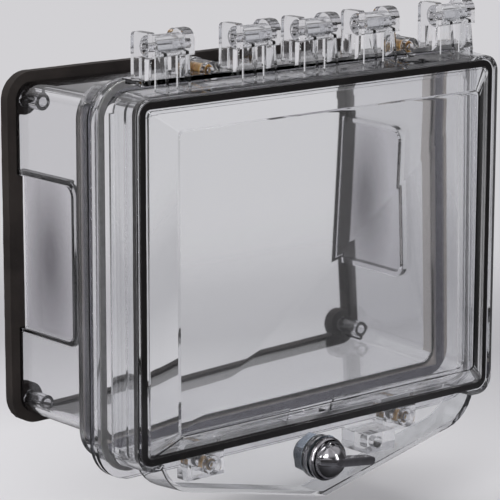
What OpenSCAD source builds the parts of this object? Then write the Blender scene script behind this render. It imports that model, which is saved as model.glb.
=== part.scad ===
// Clear lock box that hangs over a wall thermostat.
// X runs to the right, the front faces -Y and Z is up.
// The origin is the centre of the four wall screws, on the wall.
// A distance "out" is measured from the wall towards the front.

/* [Cover seal] */
// Width over the seal between cover and frame
seal_w = 268; // [240:1:300]
// Height over the same seal
seal_h = 203; // [180:1:230]
// Outer corner radius of the seal
seal_r = 7.5; // [6:0.5:9]
// Width of the seal strip
seal_band = 4.4; // [4:0.1:5]
// Thickness of the seal strip
seal_t = 4; // [3:0.5:5]
// Distance from the wall to the back of the cover
seal_out = 126.5; // [120:0.5:140]

/* [Cover] */
// Wall of the cover front
cover_t = 3; // [2.5:0.1:3.5]
// Wall of the cover skirt
skirt_t = 2.4; // [2:0.1:2.8]
// Reach of the cover past the seal
cover_lap = 2.8; // [2.6:0.1:3.4]
// Widening of the skirt from front to back
skirt_draft = 1.6; // [1:0.1:2]
// Depth of the skirt at the sides and below
skirt_deep = 20; // [16:0.5:20.5]
// Depth of the skirt under the hinges
skirt_deep_top = 17; // [14:0.5:17]
// Rise of the window above the cover
window_rise = 8; // [5:0.5:11]
// Inset of the flat window from the seal, sideways
window_in_x = 20; // [15:0.5:28]
// Inset of the flat window from the seal, above and below
window_in_z = 16.5; // [14:0.5:24]
// Corner radius of the flat window
window_r = 3; // [2:0.5:6]

/* [Apron] */
// Drop of the apron's lowest point below the seal
apron_drop = 42; // [40:0.5:50]
// Inset of the apron's sides from the seal
apron_in = 12; // [10:0.5:16]
// Radius of the apron's side corners
apron_r = 26; // [22:0.5:28]
// Depth of the side corners below the seal
apron_corner = 20; // [18:0.5:21]
// Radius of the point at the middle
apron_tip_r = 6; // [4:0.5:10]

/* [Frame] */
// Wall of the frame
frame_t = 3; // [2.5:0.1:3.4]
// Set-back of the frame's wall from the seal's edge
frame_gap = 0.5; // [0.4:0.1:0.7]
// Thickness of each flange
flange_t = 3; // [2.5:0.1:3.5]
// Reach of the flanges past the seal at the sides
flange_side = 12.5; // [11:0.5:14]
// Reach of the flanges past the seal at the top
flange_top = 9.4; // [9:0.1:11]
// Reach of the flanges past the seal at the bottom
flange_low = 12.5; // [11:0.5:14]
// Outer corner radius of the flanges
flange_r = 23; // [18:1:26]
// Depth of the frame, from its flange's back to the cover's back
frame_deep = 25; // [24:0.5:28]
// Distance from the cover's back to the frame's inner lip
lip_back = 11; // [10:0.5:12]
// Inset of the inner lip from the seal
lip_in = 10.2; // [8:0.2:12]
// Thickness of the inner lip
lip_t = 2; // [1.5:0.1:2.5]
// Gap between the lip and the frame's notch for the cam
lip_ahead = 0.5; // [0.4:0.1:1]
// Corner radius of the inner lip
lip_r = 5.5; // [4:0.5:8]

/* [Back box] */
// Outer width of the box
box_w = 257; // [250:1:262]
// Outer height of the box
box_h = 196; // [190:1:200]
// Outer corner radius of the box
box_r = 11; // [10:0.5:13]
// Wall of the box
box_t = 3; // [2.5:0.1:3.5]
// Depth of the wider shoulder behind the flange
shoulder_deep = 19.6; // [16:0.1:30]
// Reach of the collar past the seal at the sides
collar_side = 7.4; // [6.5:0.1:8]
// Reach of the collar past the seal at the top
collar_top = 5.5; // [5:0.1:6]
// Reach of the collar past the seal at the bottom
collar_low = 6; // [5:0.1:6.4]
// Outer corner radius of the collar
collar_r = 20; // [16:0.5:22]
// Thickness of the shoulder's back
shoulder_t = 2.6; // [2.2:0.1:3.2]
// Thickness of the seal between the flanges
box_seal_t = 1; // [0.8:0.1:1.5]
// Width of the same seal
box_seal_w = 3.8; // [3:0.1:4]

/* [Conduit panels] */
// Height of the recessed panel in each side
panel_h = 90; // [60:1:110]
// Length of the panel from the back edge
panel_len = 51.8; // [40:0.5:58]
// Depth of the recess
panel_in = 5; // [3:0.5:5.5]
// Wall of the panel
panel_t = 2; // [1.5:0.1:2.6]
// Corner radius of the panel
panel_r = 6; // [4:0.5:9]

/* [Wall fixing] */
// Spacing of the wall screws, across
wall_x = 240; // [234:1:242]
// Spacing of the wall screws, up
wall_z = 176; // [166:1:178]
// Diameter of the wall screw holes
wall_hole_d = 5.5; // [4.5:0.1:6]
// Diameter of the wall screw pillars
pillar_d = 9.6; // [9:0.1:11]
// Length of the pillars
pillar_len = 17; // [10:0.5:30]
// Thickness of the foam gasket on the wall
foam_t = 6.5; // [4:0.5:8]
// Reach of the foam past the box
foam_lap = 6.2; // [4:0.2:8]
// Width of the foam strip
foam_band = 10.5; // [9.5:0.5:12]
// Radius of the foam round each pillar
foam_lobe_r = 9.5; // [8:0.5:11]

/* [Flange screws] */
// Spacing of the flange screws, across
screw_x = 152; // [148:1:156]
// Distance of the flange screws above or below the seal
screw_past = 10.9; // [10.8:0.1:11.6]
// Diameter of the flange screws
screw_d = 4; // [3.5:0.1:4.2]
// Diameter of the screw heads
screw_head_d = 7.4; // [7:0.1:7.6]
// Height of the screw heads
screw_head_h = 2.8; // [2:0.1:3.2]
// Length of the screws under the head
screw_len = 14; // [12:0.5:15]
// Outer diameter of the brass inserts
insert_d = 7.2; // [6.5:0.1:7.6]
// Length of the brass inserts
insert_len = 9; // [7:0.5:10]
// Length of the insert bosses
boss_len = 13.8; // [13:0.1:14.5]
// Wall round each insert
boss_t = 2; // [1.6:0.1:2.4]
// Width of the lower lugs
lug_w = 26.5; // [22:0.5:30]
// Length of the lower lugs in front of the flange
lug_len = 6.6; // [5:0.1:8]
// Drop of the lower lugs below their screws
lug_drop = 8.8; // [6.6:0.1:9]
// Width of the pocket in each lower lug
lug_pocket_w = 20; // [16:0.5:22]
// Height of the same pocket
lug_pocket_h = 6; // [4:0.5:6]

/* [Hinges] */
// Height of the hinge pins above the seal
hinge_up = 28; // [27:0.5:30]
// Distance of the hinge pins behind the cover's back
hinge_back = 8.3; // [8:0.1:9.5]
// Spacing of the three middle hinges
hinge_pitch = 45.7; // [42:0.1:50]
// Distance of the end hinges from the middle
hinge_end = 107.5; // [105:0.5:109]
// Diameter of the hinge pins
pin_d = 5; // [4:0.1:5.4]
// Running clearance round the pins in the cover, on radius
pin_play = 0.08; // [0.04:0.01:0.1]
// Width of the left knuckle
knuckle_l = 4.7; // [4:0.1:5.5]
// Width of the cover's barrel
barrel_w = 19.1; // [17:0.1:20]
// Width of the right knuckle
knuckle_r = 7.8; // [7:0.1:8.5]
// Side clearance at the barrel
barrel_play = 0.35; // [0.3:0.05:0.5]
// Diameter of the barrel
barrel_d = 12.6; // [11:0.1:13.4]
// Reach of a knuckle above the pin
knuckle_up = 8.2; // [8:0.1:9]
// Reach of a knuckle below the pin
knuckle_down = 6.1; // [5.5:0.1:7]
// Depth of a knuckle, from its front to its back
knuckle_deep = 15.2; // [14:0.1:16]
// Set-back of a pin's end in the left knuckle
pin_recess = 1; // [0.5:0.1:1.5]
// Thickness of the cover's hinge ribs
arm_t = 2.2; // [1.8:0.1:2.6]
// Inset of the left rib from the barrel's end
arm_in = 1.7; // [0:0.1:4]
// Thickness of the deck under the hinges
deck_t = 3; // [2.5:0.1:3.4]
// Reach of the deck past the end hinges
deck_past = 17.9; // [17:0.1:19]
// Rounding of the domed knuckle
dome_r = 6.4; // [5:0.1:6.8]

/* [Lock] */
// Drop of the lock axis below the seal
lock_drop = 19.2; // [18.6:0.1:20]
// Diameter of the lock's threaded body
lock_d = 19; // [18:0.1:19.5]
// Diameter of the lock's flange
lock_flange_d = 26; // [24:0.5:27]
// Thickness of the lock's flange
lock_flange_t = 2.5; // [2:0.1:3]
// Thickness of the lock's sealing ring
lock_ring_t = 1; // [0.8:0.1:1.5]
// Length of the collar behind the cover
lock_collar = 5; // [4.5:0.1:5.4]
// Distance across the flats of the nut
nut_af = 22; // [21.5:0.5:23]
// Thickness of the nut
nut_t = 7.6; // [6:0.1:8]
// Thickness of the washer under the nut
nut_washer_t = 0.8; // [0.6:0.1:1]
// Diameter of the turning plug
plug_d = 12; // [11:0.1:13]
// Running clearance round the plug, on radius
plug_play = 0.08; // [0.04:0.01:0.1]
// Diameter of the knob
knob_d = 22.6; // [21:0.1:24]
// Height of the knob's dome
knob_h = 9.5; // [8:0.1:11]
// Reach of the knob's wing
wing_len = 28.5; // [24:0.5:30]
// Thickness of the wing
wing_t = 5; // [4:0.1:6]
// Depth of the wing at its tip
wing_deep = 5.6; // [4:0.1:6.4]
// Slope of the wing below the cam's direction
wing_tilt = 8; // [0:1:12]
// Gap between the nut and the cam
cam_gap = 1.7; // [1.5:0.1:2]
// Thickness of the cam
cam_t = 2; // [1.5:0.1:2.4]
// Reach of the cam from the lock axis
cam_len = 24.5; // [23.5:0.1:25]
// Width of the cam
cam_w = 13; // [10:0.5:14]
// Side of the square on the plug
square_w = 7; // [6:0.1:7.4]
// Width of the notch for the cam
notch_w = 34; // [33:0.5:40]

/* [Seal block] */
// Distance from the middle to the block's near side
block_x = 37.2; // [36:0.2:42]
// Width of the block
block_w = 22.6; // [18:0.2:24]
// Height of the block
block_h = 11.6; // [9:0.1:12]
// Length of the block in front of the flange
block_len = 19.3; // [14:0.1:20]
// Diameter of the socket in the block
block_hole_d = 7; // [5:0.1:7.6]
// Distance of the socket from the block's near side
block_hole_x = 8.8; // [7:0.1:12]
// Depth of the socket
block_hole = 9; // [6:0.5:12]

/* [Hidden] */
$fn = 64;
hull_fn = 32;
skin = 0.02;
past = 1;
fit = 0.03;

half_w = seal_w / 2;
half_h = seal_h / 2;
cover_back = seal_out;
flange_out = seal_out - frame_deep;
cover_front = cover_back + cover_t;
frame_front = seal_out - seal_t - 0.1;
frame_flange_front = flange_out + flange_t;
box_front = flange_out - box_seal_t;
shoulder_out = box_front - shoulder_deep;
shoulder_front = shoulder_out + shoulder_t;
lip_front = cover_back - lip_back;
notch_front = lip_front - lip_t - lip_ahead;

screw_places = [for (x = [-1, 1], z = [-1, 1]) [x * screw_x / 2, z * (half_h + screw_past)]];
wall_places = [for (x = [-1, 1], z = [-1, 1]) [x * wall_x / 2, z * wall_z / 2]];
ear_r = insert_d / 2 + boss_t + 0.8;

hinge_out = cover_back - hinge_back;
hinge_z = half_h + hinge_up;
hinge_places = [-hinge_end, -hinge_pitch, 0, hinge_pitch, hinge_end];
hinge_w = knuckle_l + barrel_w + knuckle_r + 2 * barrel_play;
barrel_x = -hinge_w / 2 + knuckle_l + barrel_play;
deck_low = half_h + cover_lap + skirt_draft + 2.6;
deck_end = hinge_end + deck_past;

lock_z = -half_h - lock_drop;
nut_front = cover_back - lock_collar - nut_washer_t;
cam_front = nut_front - nut_t - cam_gap;
cam_back = cam_front - cam_t;
cam_washer_t = 0.6;
cam_screw_d = 4;
cam_screw_len = 8;
cam_head_h = 2.6;
lock_front = cover_front + lock_ring_t + lock_flange_t;
knob_back = lock_front + 0.3;
spigot_d = 8;
spigot_len = 6;
ring_groove_w = 1.9;
ring_groove_deep = 1.5;
ring_wire_d = 1.5;

// Extrude an outline drawn in X and Z from one distance out to another.
module slab(from, to) {
    translate([0, -from, 0]) rotate([90, 0, 0]) linear_extrude(to - from) children();
}

// Place a shape at a point in X and Z.
module at(place) {
    translate([place[0], 0, place[1]]) children();
}

// A round bar along Y between two distances out.
module bar_out(from, to, d) {
    translate([0, -from, 0]) rotate([90, 0, 0]) cylinder(h = to - from, d = d);
}

// A profile drawn as distance out and height, extruded along X.
module side_profile(x, width, points) {
    translate([x, 0, 0]) rotate([90, 0, 90]) linear_extrude(width)
        polygon([for (p = points) [-p[0], p[1]]]);
}

// A rounded rectangle.
module rounded(w, h, r) {
    square([w - 2 * r, h], center = true);
    square([w, h - 2 * r], center = true);
    for (x = [-1, 1], z = [-1, 1]) translate([x * (w / 2 - r), z * (h / 2 - r)]) circle(r);
}

// A rounded rectangle that reaches past the cover seal by the given amounts.
module past_seal(side, top, low, r) {
    translate([0, (top - low) / 2]) rounded(seal_w + 2 * side, seal_h + top + low, r);
}

// The outline shared by both flanges, with an ear at each screw.
module flange_outline() {
    past_seal(flange_side, flange_top, flange_low, flange_r);
    for (p = screw_places) translate(p) circle(ear_r);
}

// The clear box that stands off the wall, open at the back.
module back_box() {
    color("aliceblue", 0.4) difference() {
        union() {
            box_shell();
            for (p = wall_places) wall_pillar(p);
            for (side = [-1, 1]) panel_block(side, box_t, panel_t);
        }
        for (side = [-1, 1]) panel_block(side, 0, 0);
        for (p = wall_places) at(p) bar_out(foam_t - past, foam_t + pillar_len + past, wall_hole_d);
        for (p = screw_places) at(p) bar_out(box_front - flange_t - past, box_front + past, screw_d + 0.6);
    }
}

// Narrow body, shoulder, collar and flange, all hollow.
module box_shell() {
    difference() {
        union() {
            slab(foam_t, shoulder_front) rounded(box_w, box_h, box_r);
            slab(shoulder_out, box_front) past_seal(collar_side, collar_top, collar_low, collar_r);
            slab(box_front - flange_t, box_front) flange_outline();
        }
        slab(foam_t - past, shoulder_front + past)
            rounded(box_w - 2 * box_t, box_h - 2 * box_t, box_r - box_t);
        slab(shoulder_front, box_front + past)
            past_seal(collar_side - box_t, collar_top - box_t, collar_low - box_t, collar_r - box_t);
    }
}

// A hollow screw pillar, tied to the corner walls by two webs.
module wall_pillar(place) {
    web_t = 2.4;
    side = sign(place[0]);
    up = sign(place[1]);
    reach_x = box_w / 2 - box_t / 2 - abs(place[0]);
    reach_z = box_h / 2 - box_t / 2 - abs(place[1]);
    at(place) {
        bar_out(foam_t, foam_t + pillar_len, pillar_d);
        slab(foam_t, foam_t + pillar_len) {
            translate([side * reach_x / 2, 0]) square([reach_x, web_t], center = true);
            translate([0, up * reach_z / 2]) square([web_t, reach_z], center = true);
        }
    }
}

// The space of a side recess, or the block round it when it is grown.
module panel_block(side, grow, behind) {
    len = panel_len + grow;
    high = panel_h + 2 * grow;
    deep = panel_in + behind;
    r = panel_r + grow;
    rear = grow > 0 ? foam_t : foam_t - past;
    outer = grow > 0 ? box_w / 2 - skin : box_w / 2 + past;
    thick = outer - (box_w / 2 - deep);
    translate([side > 0 ? outer - thick : -outer, 0, 0]) rotate([90, 0, 90]) linear_extrude(thick) {
        translate([-foam_t - len + r, -high / 2]) square([len - r + foam_t - rear, high]);
        translate([-foam_t - len, -high / 2 + r]) square([len + foam_t - rear, high - 2 * r]);
        for (z = [-1, 1]) translate([-foam_t - len + r, z * (high / 2 - r)]) circle(r);
    }
}

// Black foam between the box and the wall.
module wall_gasket() {
    w = box_w + 2 * foam_lap;
    h = box_h + 2 * foam_lap;
    r = box_r + foam_lap;
    inner_r = r - foam_band;
    color("dimgray") slab(0, foam_t) difference() {
        union() {
            difference() {
                rounded(w, h, r);
                rounded(w - 2 * foam_band, h - 2 * foam_band, inner_r);
            }
            for (p = wall_places) translate(p) circle(foam_lobe_r);
        }
        for (p = wall_places) translate(p) circle(d = wall_hole_d);
    }
}

// Thin seal between the two flanges, inside the screws.
module box_seal() {
    outer = screw_past - screw_d / 2 - 0.5;
    inner = outer - box_seal_w;
    color("gainsboro") slab(box_front, flange_out) difference() {
        past_seal(outer, outer, outer, collar_r);
        past_seal(inner, inner, inner, collar_r - (outer - inner));
    }
}

// The clear front frame: flange, wall, inner lip, hinge knuckles, bosses and seal block.
module mounting_frame() {
    color("aliceblue", 0.4) difference() {
        union() {
            frame_ring();
            for (x = hinge_places) translate([x, 0, 0]) frame_knuckles();
            slab(flange_out, hinge_out + 0.6)
                translate([-deck_end, deck_low]) square([2 * deck_end, deck_t]);
            for (p = screw_places) insert_boss(p);
            seal_block();
        }
        cam_notch();
        for (p = screw_places) at(p) {
            bar_out(flange_out - past, frame_flange_front + insert_len, insert_d + 2 * fit);
            bar_out(flange_out, frame_flange_front + boss_len - 1.6, screw_d + 0.4);
        }
        for (x = hinge_places) translate([x, 0, 0]) pin_bore();
        seal_socket();
        lug_pockets();
    }
}

// Flange, wall and inner lip of the frame.
module frame_ring() {
    inner = -frame_gap - frame_t;
    difference() {
        union() {
            slab(flange_out, frame_flange_front) flange_outline();
            slab(flange_out, frame_front) past_seal(-frame_gap, -frame_gap, -frame_gap, seal_r - frame_gap);
        }
        difference() {
            slab(flange_out - past, frame_front + past) past_seal(inner, inner, inner, seal_r + inner);
            slab(lip_front - lip_t, lip_front) difference() {
                square([seal_w, seal_h], center = true);
                rounded(seal_w - 2 * lip_in, seal_h - 2 * lip_in, lip_r);
            }
        }
    }
}

// The notch that lets the cam swing up behind the frame's lower wall.
module cam_notch() {
    translate([-notch_w / 2, -notch_front, -half_h - past])
        cube([notch_w, notch_front - frame_flange_front, lip_in + 2 * past]);
    translate([-notch_w / 2, -lip_front - skin, -half_h + frame_gap + frame_t])
        cube([notch_w, lip_t + 2 * skin, lip_in]);
}

// Both knuckles of one hinge: a square one on the left and a domed one on the right.
module frame_knuckles() {
    knuckle(-hinge_w / 2, knuckle_l, 1.6, 3, knuckle_up - 0.2);
    knuckle(hinge_w / 2 - knuckle_r, knuckle_r, dome_r, dome_r, knuckle_up);
}

// One knuckle with rounded top corners, on a front post and a back post.
module knuckle(x, width, round_front, round_back, up) {
    front = hinge_out + pin_d / 2 + 1.7;
    back = front - knuckle_deep;
    top = hinge_z + up;
    low = hinge_z - knuckle_down;
    translate([x, 0, 0]) rotate([90, 0, 90]) linear_extrude(width) {
        translate([-front, low]) square([front - back, top - low - max(round_front, round_back)]);
        translate([-front + round_front, low]) square([front - back - round_front - round_back, top - low]);
        for (c = [[-front + round_front, round_front], [-back - round_back, round_back]])
            translate([c[0], top - c[1]]) circle(c[1]);
        if (round_back > round_front)
            translate([-front, low]) square([front - back - round_back, top - low - round_front]);
    }
    side_post(x, width, hinge_out + 1.1, 5, low);
    side_post(x, width, back + flange_t + 0.4, flange_t + 0.4, low);
}

// A post from the deck up into a knuckle.
module side_post(x, width, front, deep, low) {
    inset = width > barrel_w / 3 ? 0.8 : 0;
    translate([x + inset, -front, deck_low + skin]) cube([width - 2 * inset, deep, low - deck_low]);
}

// The pin's bore: through the left knuckle and blind in the right one.
module pin_bore() {
    translate([-hinge_w / 2 - past, -hinge_out, hinge_z]) rotate([0, 90, 0])
        cylinder(h = hinge_w + past - knuckle_r / 4, d = pin_d + 2 * fit);
}

// A boss for a brass insert, with a wide lug round the lower ones.
module insert_boss(place) {
    low = place[1] < 0;
    at(place) bar_out(flange_out, frame_flange_front + boss_len, insert_d + 2 * boss_t);
    if (low) {
        top = half_h - frame_gap - frame_t / 2 + place[1];
        slab(flange_out, frame_flange_front + lug_len)
            translate([place[0] - lug_w / 2, place[1] - lug_drop]) square([lug_w, lug_drop - top]);
    }
}

// The moulded pocket in the front of each lower lug.
module lug_pockets() {
    face = frame_flange_front + lug_len;
    for (p = screw_places) if (p[1] < 0) difference() {
        slab(face - lug_len / 3, face + past) translate([p[0], p[1] + lug_pocket_h / 2 - lug_drop + boss_t])
            square([lug_pocket_w, lug_pocket_h], center = true);
        at(p) bar_out(face - lug_len, face + 2 * past, insert_d + 2 * boss_t);
    }
}

// A moulded block to the right of the lock, hung from the flange.
module seal_block() {
    low = lock_z - block_h / 2;
    slab(flange_out, frame_flange_front)
        translate([block_x, low]) square([block_w, -half_h - low]);
    slab(flange_out, frame_flange_front + block_len)
        translate([block_x, low]) square([block_w, block_h]);
}

// The blind socket in the seal block.
module seal_socket() {
    face = frame_flange_front + block_len;
    at([block_x + block_hole_x, lock_z]) bar_out(face - block_hole, face + past, block_hole_d);
}

// Four knurled brass inserts in the frame's bosses.
module frame_inserts() {
    rings = 3;
    color("goldenrod") for (p = screw_places) at(p) difference() {
        bar_out(flange_out, frame_flange_front + insert_len, insert_d);
        bar_out(flange_out - past, frame_flange_front + insert_len + past, screw_d + 0.1);
        for (i = [1 : rings - 1]) translate([0, -flange_out - i * (flange_t + insert_len) / rings, 0])
            rotate([90, 0, 0]) difference() {
                cylinder(h = 1, d = insert_d + 1, center = true);
                cylinder(h = 2, d = insert_d - 0.8, center = true);
            }
    }
}

// Four pan-head screws that enter the box's flange from behind.
module flange_screws() {
    seat = box_front - flange_t;
    color("silver") for (p = screw_places) at(p) difference() {
        union() {
            bar_out(seat - screw_head_h, seat, screw_head_d);
            bar_out(seat - skin, seat + screw_len, screw_d);
        }
        for (turn = [0, 90]) translate([0, -seat + screw_head_h, 0]) rotate([0, turn, 0])
            cube([1, 3, 4], center = true);
    }
}

// One hinge pin.
module hinge_pin(index) {
    color("silver") translate([hinge_places[index] - hinge_w / 2 + pin_recess, -hinge_out, hinge_z])
        rotate([0, 90, 0]) cylinder(h = hinge_w - knuckle_r / 4 - pin_recess - 0.3, d = pin_d);
}
module hinge_pin_1() { hinge_pin(0); }
module hinge_pin_2() { hinge_pin(1); }
module hinge_pin_3() { hinge_pin(2); }
module hinge_pin_4() { hinge_pin(3); }
module hinge_pin_5() { hinge_pin(4); }

// The clear cover: raised window, skirt, pointed apron and hinge arms.
module cover() {
    color("aliceblue", 0.35) difference() {
        union() {
            cover_shell();
            for (x = hinge_places) translate([x, 0, 0]) cover_arm();
            at([0, lock_z]) bar_out(cover_back - lock_collar, cover_back + skin, lock_flange_d);
        }
        at([0, lock_z]) bar_out(cover_back - lock_collar - past, cover_front + past, lock_d + 0.3);
        for (x = hinge_places) translate([x + barrel_x - past, -hinge_out, hinge_z]) rotate([0, 90, 0])
            cylinder(h = barrel_w + 2 * past, d = pin_d + 2 * pin_play);
    }
}

// Outer form of the cover less its inner form.
module cover_shell() {
    difference() {
        union() {
            cover_pan(0, 0);
            cover_apron(0, 0);
            cover_window(0);
        }
        cover_pan(skirt_t, cover_t);
        cover_apron(skirt_t, cover_t);
        cover_window(cover_t);
        translate([-seal_w, skirt_deep_top - cover_back, half_h - seal_r]) cube([2 * seal_w, seal_out, 2 * seal_r]);
    }
}

// The pan behind the window, inset and set back by a wall for its inner form.
module cover_pan(inset, set_back) {
    rear = inset > 0 ? cover_back - skirt_deep - past : cover_back - skirt_deep;
    front = cover_front - set_back;
    wide = cover_lap - inset;
    hull() {
        slab(front - skin, front) past_seal(wide, wide, wide, seal_r + wide, $fn = hull_fn);
        slab(rear, rear + skin) past_seal(wide + skirt_draft, wide + skirt_draft, wide + skirt_draft,
            seal_r + wide + skirt_draft, $fn = hull_fn);
    }
}

// The pointed apron below the pan.
module cover_apron(inset, set_back) {
    rear = inset > 0 ? cover_back - skirt_deep - past : cover_back - skirt_deep;
    front = cover_front - set_back;
    hull() {
        slab(front - skin, front) apron_outline(-inset);
        slab(rear, rear + skin) apron_outline(skirt_draft - inset);
    }
}

// Round corners and tip of the apron, grown or shrunk.
module apron_outline(grow) {
    corner_x = half_w - apron_in - apron_r;
    corner_z = -half_h - apron_corner + apron_r;
    for (x = [-1, 1]) translate([x * corner_x, corner_z]) circle(apron_r + grow, $fn = hull_fn);
    translate([0, -half_h - apron_drop + apron_tip_r]) circle(apron_tip_r + grow, $fn = hull_fn);
    reach = corner_x + apron_r + grow;
    translate([-reach, -half_h + 2 * frame_t]) square([2 * reach, 1]);
}

// The raised window: a flat face on four sloping sides.
module cover_window(set_back) {
    foot = -seal_band - 0.6;
    base = cover_front - set_back - skin;
    hull() {
        slab(base - (set_back > 0 ? past : 0), base + skin) past_seal(foot, foot, foot, 3, $fn = hull_fn);
        slab(base + window_rise, base + window_rise + skin)
            rounded(seal_w - 2 * window_in_x, seal_h - 2 * window_in_z, window_r, $fn = hull_fn);
    }
}

// Barrel and two ribs that carry the cover on one hinge.
module cover_arm() {
    foot = half_h + cover_lap - skirt_t / 2;
    translate([barrel_x, -hinge_out, hinge_z]) rotate([0, 90, 0]) cylinder(h = barrel_w, d = barrel_d);
    for (x = [arm_in, barrel_w - arm_t]) side_profile(barrel_x + x, arm_t,
        [[hinge_out, hinge_z - barrel_d * 0.1], [cover_back + 0.7, hinge_z - 3], [cover_front - skin, foot + 5],
         [cover_front - skin, foot], [hinge_out + 1, foot], [hinge_out + 1, hinge_z - barrel_d * 0.4]]);
}

// Black foam seal on the back of the cover.
module cover_seal() {
    color("dimgray") slab(cover_back - seal_t, cover_back) difference() {
        past_seal(0, 0, 0, seal_r);
        past_seal(-seal_band, -seal_band, -seal_band, seal_r - seal_band);
    }
}

// Shapes of the lock are drawn about its axis.
module on_lock() {
    translate([0, 0, lock_z]) children();
}

// Revolve a profile of radius and distance out about the lock axis.
module lock_turned(points) {
    on_lock() rotate([90, 0, 0]) rotate_extrude() polygon(points);
}

// Threaded body of the lock with its bevelled flange.
module lock_body() {
    rear = cam_front + 0.3;
    seat = cover_front + lock_ring_t;
    bore_r = plug_d / 2 + plug_play;
    body_r = lock_d / 2;
    flange_r0 = lock_flange_d / 2;
    bevel = 1;
    pitch = 1.6;
    turns = floor((seat - 2 - rear) / pitch);
    color("silver") lock_turned(concat(
        [[bore_r, rear], [body_r - 0.6, rear]],
        [for (i = [0 : turns - 1], k = [0, 1]) [body_r - (k == 0 ? 0.6 : 0.05), rear + (i + 0.25 + k / 2) * pitch]],
        [[body_r - 0.6, rear + turns * pitch], [body_r - 0.6, seat], [flange_r0, seat],
         [flange_r0, lock_front - bevel], [flange_r0 - bevel, lock_front], [bore_r, lock_front]]));
}

// Rubber ring under the lock's flange.
module lock_ring() {
    color("black") on_lock() difference() {
        bar_out(cover_front, cover_front + lock_ring_t, lock_flange_d - 0.6);
        bar_out(cover_front - past, cover_front + lock_ring_t + past, lock_d + 0.2);
    }
}

// Flat washer under the nut.
module lock_washer() {
    color("silver") on_lock() difference() {
        bar_out(nut_front, nut_front + nut_washer_t, lock_flange_d - 0.4);
        bar_out(nut_front - past, nut_front + nut_washer_t + past, lock_d + 0.3);
    }
}

// Hexagon nut with its points up and down.
module lock_nut() {
    color("lightsteelblue") on_lock() difference() {
        intersection() {
            translate([0, -nut_front, 0]) rotate([-90, 0, 0]) rotate([0, 0, 90])
                cylinder(h = nut_t, d = nut_af / cos(30), $fn = 6);
            translate([0, -nut_front, 0]) rotate([-90, 0, 0]) union() {
                cylinder(h = nut_t - 1, d = nut_af / cos(30) + 0.4);
                translate([0, 0, nut_t - 1 - skin]) cylinder(h = 1 + skin, d1 = nut_af / cos(30) + 0.4, d2 = nut_af - 0.4);
            }
        }
        bar_out(nut_front - nut_t - past, nut_front + past, lock_d + 0.1);
    }
}

// The turning plug: groove for its ring, spigot for the knob and square for the cam.
module lock_plug() {
    r = plug_d / 2;
    groove = cover_front - 3;
    shoulder = cam_front;
    color("silver") difference() {
        union() {
            lock_turned([[0, shoulder], [r, shoulder], [r, groove - ring_groove_w], [r - ring_groove_deep, groove - ring_groove_w],
                [r - ring_groove_deep, groove], [r, groove], [r, knob_back], [spigot_d / 2, knob_back],
                [spigot_d / 2, knob_back + spigot_len], [0, knob_back + spigot_len]]);
            on_lock() translate([-square_w / 2, -shoulder - skin, -square_w / 2]) cube([square_w, cam_t + skin, square_w]);
        }
        on_lock() bar_out(cam_back - past, cam_back + cam_screw_len + 1, cam_screw_d + 0.1);
        on_lock() knob_pin_bar(knob_d, 0.1);
    }
}

// Rubber ring in the plug's groove.
module plug_o_ring() {
    groove = cover_front - 3;
    color("black") on_lock() translate([0, -groove + ring_groove_w / 2, 0]) rotate([90, 0, 0])
        rotate_extrude() translate([plug_d / 2 - ring_wire_d / 2, 0]) circle(d = ring_wire_d);
}

// The cross pin that holds the knob, and the hole for it when given play.
module knob_pin_bar(length, play) {
    translate([0, -knob_back - 3, 0]) cylinder(h = length, d = 2 + play, center = true);
}

// Domed knob with one wing, which points at the cam.
module thumb_turn() {
    dome_r = knob_d / 2;
    rise = knob_h;
    sphere_r = (pow(dome_r - 1, 2) + pow(rise - 2, 2)) / (2 * (rise - 2));
    color("silver") difference() {
        union() {
            on_lock() translate([0, -knob_back, 0]) rotate([90, 0, 0]) intersection() {
                cylinder(h = rise, r = dome_r);
                union() {
                    cylinder(h = 2, r = dome_r);
                    translate([0, 0, rise - sphere_r]) sphere(sphere_r);
                }
            }
            on_lock() knob_wing();
        }
        on_lock() bar_out(knob_back - past, knob_back + spigot_len + 0.2, spigot_d + 2 * fit);
        on_lock() knob_pin_bar(2 * knob_d, 0.1);
    }
}

// The wing: a bar that crosses the dome and ends in a round tip.
module knob_wing() {
    front = knob_back + knob_h;
    wing_back = 0.6;
    rotate([0, wing_tilt, 0]) hull() {
        translate([-knob_d * 0.42, 0, 0]) wing_rod(knob_back + 2, front - 4);
        wing_rod(knob_back + 2, front);
        translate([wing_len - wing_t / 2, 0, 0]) wing_rod(front - wing_back - wing_deep, front - wing_back);
    }
}

// One rod of the wing, as wide as the wing is thick.
module wing_rod(from, to) {
    translate([0, -from, 0]) rotate([90, 0, 0]) cylinder(h = to - from, d = wing_t, $fn = hull_fn);
}

// Cross pin of the knob.
module thumb_turn_pin() {
    color("gray") on_lock() knob_pin_bar(knob_d * 0.6, 0);
}

// Flat cam with a round end and a square hole.
module lock_cam() {
    hole = square_w + 0.1;
    color("silver") on_lock() slab(cam_back, cam_front) difference() {
        union() {
            circle(d = cam_w + 4);
            translate([0, -cam_w / 2]) square([cam_len - cam_w / 2, cam_w]);
            translate([cam_len - cam_w / 2, 0]) circle(d = cam_w);
        }
        square(hole, center = true);
    }
}

// Washer between the cam and its screw.
module cam_washer() {
    color("silver") on_lock() difference() {
        bar_out(cam_back - cam_washer_t, cam_back, cam_w - 1);
        bar_out(cam_back - cam_washer_t - past, cam_back + past, cam_screw_d + 0.3);
    }
}

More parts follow.
